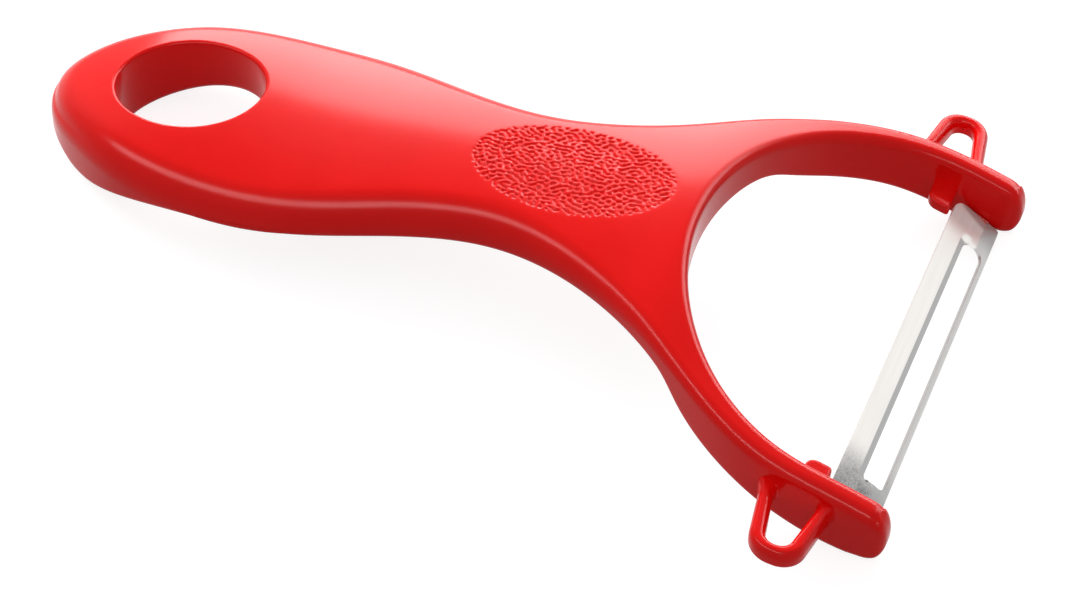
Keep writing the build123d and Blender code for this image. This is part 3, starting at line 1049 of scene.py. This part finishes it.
class Value:
    """Output of a shader node, with arithmetic that adds Math nodes."""

    def __init__(self, shader, socket):
        self.shader = shader
        self.socket = socket

    def math(self, operation, *items):
        """Result of a Math node."""
        return self.shader.node("ShaderNodeMath", {"operation": operation}, dict(enumerate(items)))

    def __add__(self, other):
        return self.math("ADD", self, other)

    def __radd__(self, other):
        return self.math("ADD", other, self)

    def __sub__(self, other):
        return self.math("SUBTRACT", self, other)

    def __rsub__(self, other):
        return self.math("SUBTRACT", other, self)

    def __mul__(self, other):
        return self.math("MULTIPLY", self, other)

    def __rmul__(self, other):
        return self.math("MULTIPLY", other, self)

    def __truediv__(self, other):
        return self.math("DIVIDE", self, other)

    def __rtruediv__(self, other):
        return self.math("DIVIDE", other, self)

    def at_least(self, other):
        """The larger of two values."""
        return self.math("MAXIMUM", self, other)

    def at_most(self, other):
        """The smaller of two values."""
        return self.math("MINIMUM", self, other)

    def between(self, low, high):
        """Smooth share of the way from low to high."""
        share = ((self - low) / (high - low)).at_least(0).at_most(1)
        return share * share * (3 - 2 * share)


class Shader:
    """Node tree of a material or a world; the last node is the one that the output shows."""

    def __init__(self, owner, last):
        owner.use_nodes = True
        self.tree = owner.node_tree
        self.last = self.tree.nodes[last]

    def put(self, slot, item):
        """Puts a node output, a colour or a constant into an input."""
        if isinstance(item, Value):
            self.tree.links.new(item.socket, slot)
        elif slot.type == "RGBA":
            slot.default_value = (*item, 1.0)
        else:
            slot.default_value = item

    def node(self, kind, options, inputs, output=0):
        """New node of a type, with its options and then its inputs; returns one output."""
        node = self.tree.nodes.new(kind)
        for name, value in options.items():
            setattr(node, name, value)
        for key, value in inputs.items():
            self.put(node.inputs[key], value)
        return Value(self, node.outputs[output])

    def noise(self, scale, detail, roughness=0.5, stretch=(1, 1, 1)):
        """Noise over the object's own coordinates."""
        own = self.node("ShaderNodeTexCoord", {}, {}, "Object")
        place = self.node("ShaderNodeMapping", {}, {"Vector": own, "Scale": stretch})
        inputs = {"Vector": place, "Scale": scale, "Detail": detail, "Roughness": roughness}
        return self.node("ShaderNodeTexNoise", {}, inputs)

    def mix(self, share, first, second):
        """Colour between two colours."""
        return self.node("ShaderNodeMix", {"data_type": "RGBA"}, {"Factor": share, 6: first, 7: second}, 2)

    def bump(self, strength, distance, height):
        """Normal of a slightly uneven surface."""
        return self.node("ShaderNodeBump", {}, {"Strength": strength, "Distance": distance, "Height": height})

    def seen_directly(self):
        """Share that is 1 for camera, glossy and transmission rays."""
        camera, glossy, through = [
            self.node("ShaderNodeLightPath", {}, {}, name)
            for name in ("Is Camera Ray", "Is Glossy Ray", "Is Transmission Ray")
        ]
        return camera.at_least(glossy).at_least(through)

    def set(self, name, item):
        """Sets an input of the last node."""
        self.put(self.last.inputs[name], item)


def red_plastic():
    """Glossy moulded plastic, slightly clouded and slightly uneven."""
    if "red_plastic" in bpy.data.materials:
        return bpy.data.materials["red_plastic"]
    finish = settings().finish
    material = bpy.data.materials.new("red_plastic")
    shader = Shader(material, "Principled BSDF")
    clouds = shader.noise(scale=90, detail=4)
    grain = shader.noise(scale=2600, detail=2)
    flow = shader.noise(scale=420, detail=2)
    shade = clouds.between(0.35, 0.65)
    gloss_change = (clouds - 0.5) * CLOUD_ROUGHNESS + (grain - 0.5) * GRAIN_ROUGHNESS
    shader.set("Base Color", shader.mix(shade, finish.plastic_colour[:], finish.plastic_shade[:]))
    shader.set("Roughness", finish.plastic_roughness + gloss_change)
    shader.set("Specular IOR Level", finish.plastic_specular)
    shader.set("Normal", shader.bump(strength=0.12, distance=0.00005, height=flow + grain * 0.15))
    return material


def brushed_steel():
    """Brushed strip steel with a ground bevel, a scratched end that also carries a painted dark reflection,
    and matt bent ends; the bent ends and the guard panel are darkened with painted shade.
    """
    if "brushed_steel" in bpy.data.materials:
        return bpy.data.materials["brushed_steel"]
    finish = settings().finish
    material = bpy.data.materials.new("brushed_steel")
    shader = Shader(material, "Principled BSDF")
    along, ground, guard, end = [
        shader.node("ShaderNodeAttribute", {"attribute_name": name}, {}, "Fac")
        for name in ("along", "ground", "guard", "end")
    ]
    lines = shader.noise(scale=1500, detail=4, roughness=0.7, stretch=(1, 0.04, 1))
    fine = shader.noise(scale=5200, detail=3, roughness=0.7, stretch=(1, 0.03, 1))
    spots = shader.noise(scale=260, detail=3)
    grain = shader.noise(scale=4200, detail=4, roughness=0.75, stretch=(1.5, 0.7, 1))
    # Near end: real scratches and blotches, darkened further by a painted dark reflection
    scratches_and_reflection = (1 - along.between(*SCRATCHES_AND_REFLECTION_END_SHARES)) * (0.75 + spots.between(0.35, 0.6) * 0.25)
    marks_and_reflection = scratches_and_reflection * SCRATCHES_AND_REFLECTION_SHARE + scratches_and_reflection * grain.between(0.42, 0.62) * SCRATCHES_SHARE
    brushed = lines.between(0.3, 0.7) * BRUSH_LINES_SHARE
    dull = (end * BENT_END_DULL_SHARE).at_least(along.between(*FAR_END_SHARES) * FAR_END_DULL_SHARE)
    gloss_change = (fine - 0.5) * BRUSHED_ROUGHNESS + scratches_and_reflection * WORN_ROUGHNESS + ground * GROUND_ROUGHNESS
    steel = shader.mix(brushed, finish.steel_colour[:], finish.brushed_colour[:])
    steel = shader.mix(marks_and_reflection, steel, finish.worn_colour[:])
    # The guard panel takes the bevel's grey as painted shade
    steel = shader.mix((ground + guard * GUARD_SHADE_SHARE).at_most(1), steel, finish.bevel_colour[:])
    # The bent ends are darkened with painted shade
    shader.set("Base Color", shader.mix(end * BENT_END_SHADE_SHARE, steel, finish.end_colour[:]))
    shader.set("Metallic", 1 - dull)
    shader.set("Roughness", finish.steel_roughness + gloss_change)
    shader.set("Normal", shader.bump(strength=0.2, distance=0.00003, height=lines * 0.7 + fine * 0.3))
    return material


def place_camera():
    """Camera that sees the peeler from above, with the blade at the right."""
    stage = settings().stage
    data = bpy.data.cameras.new("camera")
    data.lens = stage.camera_lens
    data.clip_start = stage.clip_start
    camera = link("camera", data)
    turn = Matrix((CAMERA_RIGHT, CAMERA_UP, CAMERA_BACK)).transposed().to_4x4()
    turn.translation = stage.camera_place
    camera.matrix_world = turn
    bpy.context.scene.camera = camera


def place_light(name, direction, power, height, reflected):
    """Soft box that looks at the object; it either lights it or is only reflected by it."""
    stage = settings().stage
    data = bpy.data.lights.new(name, "AREA")
    data.shape = "RECTANGLE"
    data.size = stage.light_width
    data.size_y = height
    data.energy = power
    light = link(name, data)
    light.location = Vector(direction).normalized() * stage.light_distance
    light.rotation_euler = Vector(direction).to_track_quat("Z", "Y").to_euler()
    light.visible_diffuse = not reflected
    light.visible_glossy = reflected
    light.visible_camera = False
    return light


def light_plastic_only(lights):
    """Keeps the soft boxes' reflections on the plastic, as flags keep them off the steel in a studio."""
    plastic = bpy.data.collections.new("plastic_pieces")
    for obj in bpy.context.scene.objects:
        if obj.type == "MESH" and "red_plastic" in obj.data.materials:
            plastic.objects.link(obj)
    for light in lights:
        light.light_linking.receiver_collection = plastic


def place_floor():
    """Matt floor just below the rest plane that the camera sees as white."""
    stage = settings().stage
    half = stage.floor_size / 2
    mesh = bpy.data.meshes.new("floor")
    corners = [(x * half, y * half, -stage.floor_gap) for x, y in ((-1, -1), (1, -1), (1, 1), (-1, 1))]
    mesh.from_pydata(corners, [], [(0, 1, 2, 3)])
    floor = link("floor", mesh)
    material = bpy.data.materials.new("pale_floor")
    mesh.materials.append(material)
    shader = Shader(material, "Principled BSDF")
    shader.set("Base Color", stage.floor_colour[:])
    shader.set("Roughness", 1.0)
    shader.set("Specular IOR Level", 0.0)
    shader.set("Emission Strength", stage.floor_glow)
    shader.set("Emission Color", shader.mix(shader.seen_directly(), (0.0, 0.0, 0.0), (1.0, 1.0, 1.0)))


def place_world():
    """White surroundings, dimmer as a light than to the eye."""
    world = bpy.data.worlds.new("world")
    bpy.context.scene.world = world
    shader = Shader(world, "Background")
    fill = settings().stage.fill_strength
    shader.set("Color", (1.0, 1.0, 1.0))
    shader.set("Strength", fill + shader.seen_directly() * (1 - fill))


class PEELER_OT_handle(Operator):
    """Build the moulded handle with its hang hole and thumb rest"""

    bl_idname = "peeler.handle"
    bl_label = "Handle"

    def execute(self, context):
        build_handle(red_plastic())
        return {"FINISHED"}


class PEELER_OT_loops(Operator):
    """Build the two loops beside the arms"""

    bl_idname = "peeler.loops"
    bl_label = "Loops"

    def execute(self, context):
        build_loop("loop_left", 1, red_plastic())
        build_loop("loop_right", -1, red_plastic())
        return {"FINISHED"}


class PEELER_OT_lugs(Operator):
    """Build the two lugs behind the blade"""

    bl_idname = "peeler.lugs"
    bl_label = "Lugs"

    def execute(self, context):
        build_lug("lug_left", 1, red_plastic())
        build_lug("lug_right", -1, red_plastic())
        return {"FINISHED"}


class PEELER_OT_blade(Operator):
    """Build the slotted steel blade with its ears and pivot stubs"""

    bl_idname = "peeler.blade"
    bl_label = "Blade"

    def execute(self, context):
        build_blade(brushed_steel())
        build_stub("stub_left", 1, brushed_steel())
        build_stub("stub_right", -1, brushed_steel())
        return {"FINISHED"}


class PEELER_OT_stage(Operator):
    """Add the floor, the lights and the camera"""

    bl_idname = "peeler.stage"
    bl_label = "Stage"

    def execute(self, context):
        stage = settings().stage
        place_floor()
        place_world()
        place_light("key_light", KEY_DIRECTION, stage.key_power, stage.light_height, False)
        sheen = place_light("sheen_light", SHEEN_DIRECTION, stage.sheen_power, stage.light_height, True)
        strip = place_light("strip_light", STRIP_DIRECTION, stage.strip_power, stage.strip_height, True)
        light_plastic_only((sheen, strip))
        place_camera()
        context.scene.view_settings.view_transform = "Standard"
        return {"FINISHED"}


class PEELER_PT_panel(Panel):
    """Buttons that build the peeler, and its sizes and colours"""

    bl_label = "Vegetable peeler"
    bl_idname = "PEELER_PT_panel"
    bl_space_type = "VIEW_3D"
    bl_region_type = "UI"
    bl_category = "Peeler"

    def draw(self, context):
        layout = self.layout
        for operator in OPERATORS:
            layout.operator(operator.bl_idname)
        for name in PeelerSettings.__annotations__:
            group = getattr(settings(), name)
            box = layout.box()
            box.label(text=settings().bl_rna.properties[name].name)
            for key in group.__annotations__:
                box.prop(group, key)


GROUPS = (
    PeelerHandleSettings,
    PeelerLoopSettings,
    PeelerLugSettings,
    PeelerBladeSettings,
    PeelerFinishSettings,
    PeelerStageSettings,
    PeelerSettings,
)
OPERATORS = (PEELER_OT_handle, PEELER_OT_loops, PEELER_OT_lugs, PEELER_OT_blade, PEELER_OT_stage)


def register():
    for item in GROUPS + OPERATORS + (PEELER_PT_panel,):
        bpy.utils.register_class(item)
    bpy.types.Scene.peeler = PointerProperty(type=PeelerSettings)


def unregister():
    del bpy.types.Scene.peeler
    for item in reversed(GROUPS + OPERATORS + (PEELER_PT_panel,)):
        bpy.utils.unregister_class(item)


def main():
    """Builds the pieces and the stage."""
    register()
    bpy.ops.peeler.handle()
    bpy.ops.peeler.loops()
    bpy.ops.peeler.lugs()
    bpy.ops.peeler.blade()
    bpy.ops.peeler.stage()


if __name__ == "__main__":
    main()
